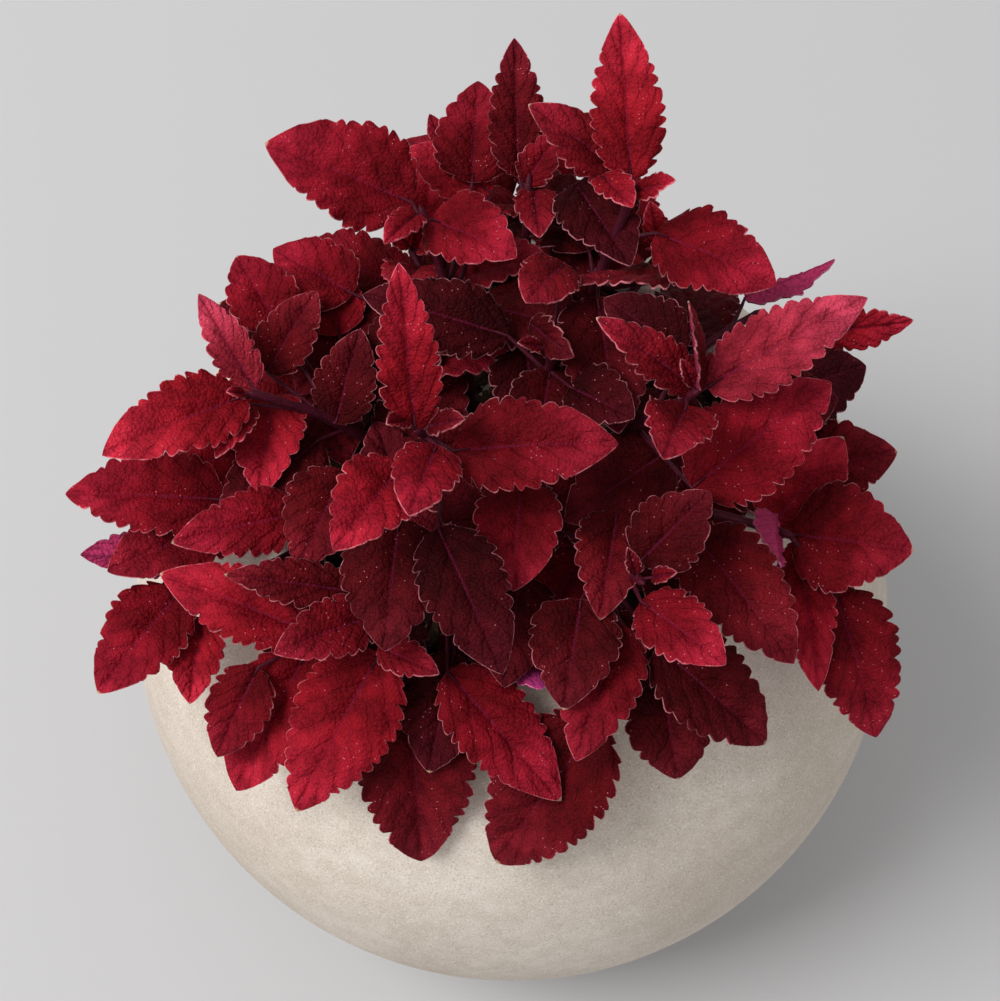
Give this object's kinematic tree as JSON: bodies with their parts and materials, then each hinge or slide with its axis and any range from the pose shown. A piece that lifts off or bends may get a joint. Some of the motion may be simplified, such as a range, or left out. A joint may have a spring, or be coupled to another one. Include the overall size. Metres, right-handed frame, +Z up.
{
  "type": "potted coleus",
  "caption": "Coleus with red, quilted, toothed leaves, grown full in a round pale stone-look ball pot filled with soil.",
  "frame": {"origin": "centre of the pot's flat foot, where it rests on the ground", "axes": "+Z up through the middle of the pot, -Y towards the front of the plant, +X to the right as seen from the front"},
  "size_m": [0.4496, 0.449, 0.548],
  "materials": {
    "pot": "matte, finely speckled grey-beige",
    "soil": "matte, crumbly dark potting soil",
    "leaf": "velvety crimson leaf with a thin pale rim, on a purple stem"
  },
  "bodies": {
    "root": {"pot": "pot", "soil": "soil", "leafy_stem_centre_left": "leaf", "leafy_stem_front_right": "leaf", "leafy_stem_centre_right": "leaf", "leafy_stem_left": "leaf", "leafy_stem_rear_left": "leaf", "leafy_stem_rear_middle": "leaf", "leafy_stem_rear_right": "leaf", "leafy_stem_middle": "leaf", "leafy_stem_front_left": "leaf", "leafy_stem_front_middle": "leaf", "leafy_stem_right": "leaf", "leafy_stem_right_rear": "leaf", "leafy_stem_left_front": "leaf", "leafy_stem_left_low": "leaf", "leafy_stem_left_rear": "leaf", "leafy_stem_back_left": "leaf", "leafy_stem_back_middle": "leaf", "leafy_stem_back_right": "leaf"}
  },
  "joints": []
}
